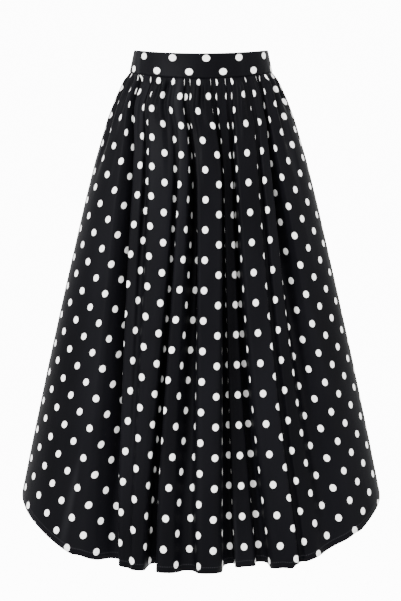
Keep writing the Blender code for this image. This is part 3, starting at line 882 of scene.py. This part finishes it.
@dataclass
class Waistband:
    """Flat waistband of folded cloth: a front piece and two back pieces that the zip parts."""

    form: WornForm
    top_half_width: float = 0.1206
    seam_half_width: float = 0.1287
    top_half_depth: float = 0.0900
    seam_half_depth: float = 0.0925
    top_side: float = 0.0190
    top_drops: tuple[float, float] = (0.0180, -0.0030)
    wall: float = 0.0024
    columns: int = 220
    rows: int = 26
    edge_crowding: float = 0.028
    top_radius: float = 0.0011
    low_radius: float = 0.0008
    pucker: float = 0.00035
    wave: float = 0.00035
    side_fade: float = 0.03
    zip_fade: float = 0.08
    satin: DottedSatin = DottedSatin(
        repeat_across=0.0600, repeat_down=0.0480, radius=0.0070, squeeze=(1.03, 1.18),
        first_across=0.0090, first_down=0.0090
    )

    def sheet(self, facing: Facing, cut: Cut) -> Sheet:
        """One stretch of the band.

        Args:
            facing: Front or back half.
            cut: The stretch of the half.

        Returns:
            The closed shell, whose top edge is a rounded fold.
        """
        start, end = cut.value
        width = round(self.columns * (end - start) / 2)
        shares = np.linspace(start, end, width + 1)
        rows = []
        for number in range(self.rows):
            part = number / (self.rows - 1)
            part -= self.edge_crowding * math.sin(2 * math.pi * part)
            rows.append(self.row(facing, shares, part))
        return Sheet(*(np.array(grid) for grid in zip(*rows)))

    def row(self, facing: Facing, shares: Array, part: float) -> Grids:
        """One row of the band.

        Args:
            facing: Front or back half.
            shares: Signed share of the half ring at each column.
            part: Share of the band's height from its top edge.

        Returns:
            Outer points, inner points, cloth coordinates and distances from the seam.
        """
        half_width = between((self.top_half_width, self.seam_half_width), part)
        half_depth = between((self.top_half_depth, self.seam_half_depth), part)
        bearing = self.form.bearing(shares, half_depth / half_width)
        top_drop = self.top_drops[0] if facing is Facing.FRONT else self.top_drops[1]
        top = self.form.edge(self.top_side, top_drop, bearing)
        seam = self.form.edge(self.form.seam_side, self.form.seam_drop(facing), bearing)
        height = top + (seam - top) * part
        drop = (top - seam) * part
        rest = (top - seam) * (1 - part)
        round_top = self.rounding(drop, self.top_radius)
        round_low = self.rounding(rest, self.low_radius)
        arc = shares * self.half_length(half_width, half_depth)
        push = self.relief(facing, shares, part, rest)
        faces = []
        for depth in (-round_top - round_low + push, -self.wall + round_top):
            across = (half_width + depth) * np.sin(bearing)
            out = (half_depth + depth) * np.cos(bearing)
            for column in (0, -1):
                if abs(shares[column]) > 0.99:
                    out[column] = self.form.seam_gap
                else:
                    across[column] = math.copysign(self.form.seam_gap, shares[len(shares) // 2])
            faces.append(np.stack((across, out * facing.value, height), axis=1))
        return faces[0], faces[1], np.stack((arc, drop), axis=1), rest

    def rounding(self, distance: Array, radius: float) -> Array:
        """How far the cloth stands back at a distance from a rounded edge."""
        return radius * (1 - np.sqrt(1 - np.clip(1 - distance / radius, 0, 1) ** 2))

    def relief(self, facing: Facing, shares: Array, part: float, rest: Array) -> Array:
        """Puckers close to the seam and one slow wave: both die out at the sides and at the zip."""
        pucker = self.pucker * np.sin(shares * 53.4 + 0.9 * np.sin(shares * 17.0)) * np.exp(-rest / 0.006)
        wave = self.wave * np.sin(shares * 9.0 + part * 2.0) * math.sin(math.pi * part)
        calm = smooth_step((1 - np.abs(shares)) / self.side_fade)
        if facing is Facing.BACK:
            calm = calm * smooth_step(np.abs(shares) / self.zip_fade)
        return (pucker + wave) * calm

    def half_length(self, half_width: float, half_depth: float) -> float:
        """Half of a half ellipse's length, from the middle to a side, in steps of a degree."""
        turns = np.linspace(0, math.pi / 2, 91)
        steps = np.hypot(half_width * np.cos(turns), half_depth * np.sin(turns))
        return float(np.sum((steps[1:] + steps[:-1]) / 2) * math.pi / 180)

    def build(self) -> Pieces:
        """Builds the three pieces."""
        finish = self.satin.make("waistband_dotted_satin", False)
        plan = (
            (Facing.FRONT, Cut.WHOLE, "front_waistband", "waistband_front", 0.350),
            (Facing.BACK, Cut.LEFT, "back_waistband_left", "waistband_back_left", 0.175),
            (Facing.BACK, Cut.RIGHT, "back_waistband_right", "waistband_back_right", 0.175),
        )
        pieces = []
        for facing, cut, name, node, length in plan:
            mesh = self.sheet(facing, cut).mesh(name, facing is Facing.BACK)
            piece = add_piece(name, mesh, finish)
            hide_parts(node)
            pieces.append(piece)
        return pieces


@dataclass
class BackZip:
    """Concealed zip at the centre back: tape, coil, slider and pull tab."""

    half_width: float = 0.0120
    wall: float = 0.0008
    cord_place: float = 0.0105
    bow_radius: float = 0.19
    coil_pitch: float = 0.0014
    coil_wire: float = 0.00032
    coil_middle: float = 0.0009
    coil_half_width: float = 0.0013
    coil_half_depth: float = 0.0008
    coil_inset: float = 0.0012
    coil_points: int = 8
    columns: int = 24
    rows: int = 150

    def back_line(self, heights: Array) -> Array:
        """Depth of the tape's outer face on the middle plane at some heights, read from the CAD tape."""
        node = bpy.data.objects[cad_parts["zip_tape"].name]
        points = np.array([tuple(node.matrix_world @ vertex.co) for vertex in node.data.vertices])
        middle = points[np.abs(points[:, 0]) < 0.0005]
        found: dict[float, float] = {}
        for _, out, height in middle:
            level = round(float(height), 5)
            found[level] = max(found.get(level, -1.0), float(out))
        known = sorted(found)
        return np.interp(heights, known, [found[height] for height in known])

    def tape(self, heights: Array, line: Array) -> bpy.types.Object:
        """Builds the woven tape in place of its plain solid.

        Args:
            heights: Height of each row.
            line: Depth of the outer face on the middle plane at each row.

        Returns:
            The piece.
        """
        across = np.linspace(-self.half_width, self.half_width, self.columns + 1)
        bow = across ** 2 / (2 * self.bow_radius)
        cord = 0.00025 * np.exp(-((np.abs(across) - self.cord_place) / 0.0006) ** 2)
        outer = np.array([np.stack((across, out - bow, np.full_like(across, height)), axis=1)
                          for height, out in zip(heights, line)])
        inner = outer.copy()
        inner[:, :, 1] -= self.wall + cord
        down = np.broadcast_to((heights[0] - heights)[:, None], outer.shape[:2])
        side = np.broadcast_to(across, outer.shape[:2])
        sheet = Sheet(outer, inner, np.stack((side, down), axis=-1), np.full(outer.shape[:2], 1.0))
        mesh = sheet.mesh("woven_zip_tape", True)
        piece = add_piece("woven_zip_tape", mesh, ZipCloth().make("zip_woven_tape"))
        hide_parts("zip_tape")
        return piece

    def coil(self, heights: Array, line: Array) -> bpy.types.Object:
        """Builds the closed coil down the inside of the tape.

        Args:
            heights: Height of each row.
            line: Depth of the tape's outer face at each row.

        Returns:
            The piece.
        """
        curve = bpy.data.curves.new("zip_coil", "CURVE")
        curve.dimensions = "3D"
        curve.bevel_depth = self.coil_wire
        curve.bevel_resolution = 1
        turns = int((heights[0] - heights[-1] - 0.006) / self.coil_pitch)
        for side, ahead in ((-1, 0.0), (1, 0.5)):
            spline = curve.splines.new("POLY")
            places = []
            for step in range(turns * self.coil_points):
                turn = 2 * math.pi * step / self.coil_points
                height = heights[0] - 0.002 - self.coil_pitch * (step / self.coil_points + ahead)
                out = float(np.interp(-height, -heights, line)) - self.wall - self.coil_inset
                across = side * (self.coil_middle + self.coil_half_width * math.cos(turn))
                places.append((across, out + self.coil_half_depth * math.sin(turn), height))
            spline.points.add(len(places) - 1)
            for point, place in zip(spline.points, places):
                point.co = (*place, 1.0)
        holder = add_object("zip_coil_path", curve)
        graph = bpy.context.evaluated_depsgraph_get()
        mesh = bpy.data.meshes.new_from_object(holder.evaluated_get(graph))
        bpy.data.objects.remove(holder, do_unlink=True)
        mesh.name = "zip_coil"
        mesh.materials.clear()
        return add_piece("zip_coil", mesh, Enamel(roughness=0.34).make("zip_coil_nylon"))

    def build(self) -> Pieces:
        """Builds the tape and the coil, and gives the slider and the pull tab their enamel."""
        low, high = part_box("zip_tape")
        heights = np.linspace(high[2], low[2], self.rows)
        line = self.back_line(heights)
        pieces = [self.tape(heights, line), self.coil(heights, line)]
        enamel = Enamel().make("zip_enamel")
        for node in ("zip_slider", "zip_pull_tab"):
            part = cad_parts[node]
            part.data.materials.clear()
            part.data.materials.append(enamel)
        return pieces


@dataclass
class Studio:
    """Camera, soft lights and a pale sweep behind and under the skirt."""

    distance: float = 3.0
    pixel: float = 0.0018
    image_height: int = 601
    sensor: float = 24.0
    mid_across: float = -0.0009
    mid_height: float = -0.431
    floor: float = -1.30
    reach: float = 7.0
    curve: float = 2.0
    curve_steps: int = 12
    sides: int = 96
    glow: float = 10.0
    daylight: float = 2.6

    def camera(self) -> None:
        """Sets the camera level with the skirt's middle."""
        data = bpy.data.cameras.new("camera")
        data.sensor_fit = "VERTICAL"
        data.sensor_height = self.sensor
        data.lens = self.sensor * (self.distance / self.pixel) / self.image_height
        camera = add_object("camera", data)
        camera.location = (self.mid_across, -self.distance, self.mid_height)
        camera.rotation_euler = (math.pi / 2, 0.0, 0.0)
        bpy.context.scene.camera = camera

    def sweep(self) -> None:
        """Builds the pale round floor that curves up into a wall on every side, and lets light pass it."""
        bowl = bmesh.new()
        profile = [(self.reach / 2, self.floor)]
        for step in range(self.curve_steps + 1):
            turn = math.pi / 2 * step / self.curve_steps
            out = self.reach + self.curve * math.sin(turn)
            profile.append((out, self.floor + self.curve * (1 - math.cos(turn))))
        profile.append((self.reach + self.curve, self.reach))
        corners = [bowl.verts.new((out, 0.0, height)) for out, height in profile]
        edges = [bowl.edges.new(pair) for pair in zip(corners, corners[1:])]
        bmesh.ops.spin(bowl, geom=corners + edges, axis=(0.0, 0.0, 1.0), cent=(0.0, 0.0, 0.0),
                       steps=self.sides, angle=2 * math.pi, use_merge=True)
        near = self.reach * 0.6
        hole = [edge for edge in bowl.edges if edge.is_boundary
                and all(math.hypot(corner.co.x, corner.co.y) < near for corner in edge.verts)]
        bmesh.ops.contextual_create(bowl, geom=hole)
        bmesh.ops.recalc_face_normals(bowl, faces=bowl.faces)
        mesh = bpy.data.meshes.new("sweep")
        bowl.to_mesh(mesh)
        bowl.free()
        mesh.shade_smooth()
        sweep = add_object("sweep", mesh)
        sweep.visible_diffuse = False
        sweep.visible_glossy = False
        shading, paper = new_material("pale_paper")
        tone = shading.noise(shading.value(shading.node("ShaderNodeTexCoord"), "Object"), 3.0)
        pale = shading.mix(tone * 0.3, (0.90, 0.90, 0.90), (0.87, 0.87, 0.87))
        finish = shading.dress(paper, Base_Color=pale, Roughness=0.9, Emission_Color=(1.0, 1.0, 1.0),
                               Emission_Strength=self.glow)
        sweep.data.materials.append(finish)

    def light(self, name: str, place: Sequence[float], aim: Sequence[float], size: Sequence[float],
              power: float) -> None:
        """Adds a rectangular soft light.

        Args:
            name: The light's name.
            place: Where it stands.
            aim: The point that it faces.
            size: Its width and height.
            power: Its power in watts.
        """
        data = bpy.data.lights.new(name, "AREA")
        data.shape = "RECTANGLE"
        data.size, data.size_y = size
        data.energy = power
        lamp = add_object(name, data)
        lamp.location = place
        lamp.rotation_euler = (Vector(aim) - Vector(place)).to_track_quat("-Z", "Y").to_euler()

    def build(self) -> None:
        """Sets up the whole studio."""
        self.camera()
        self.sweep()
        world = bpy.data.worlds.new("studio")
        world.use_nodes = True
        colour, strength = world.node_tree.nodes["Background"].inputs[:2]
        colour.default_value = (1.0, 1.0, 1.0, 1.0)
        strength.default_value = self.daylight
        bpy.context.scene.world = world
        self.light("key", (-1.9, -2.3, 1.3), (-0.05, 0.0, -0.35), (0.6, 1.5), 190.0)
        self.light("fill", (2.2, -2.0, 0.4), (0.0, 0.0, -0.45), (1.2, 1.8), 28.0)
        self.light("back", (0.6, 2.2, 1.2), (0.0, 0.0, -0.3), (1.4, 1.4), 24.0)


def main() -> None:
    """Builds the skirt and its studio."""
    logging.basicConfig(level=logging.INFO, format="%(name)s: %(message)s")
    form = WornForm()
    Studio().build()
    pieces = Waistband(form).build() + Skirt(form).build() + BackZip().build()
    log.info("built %d pieces", len(pieces))


if __name__ == "__main__":
    main()
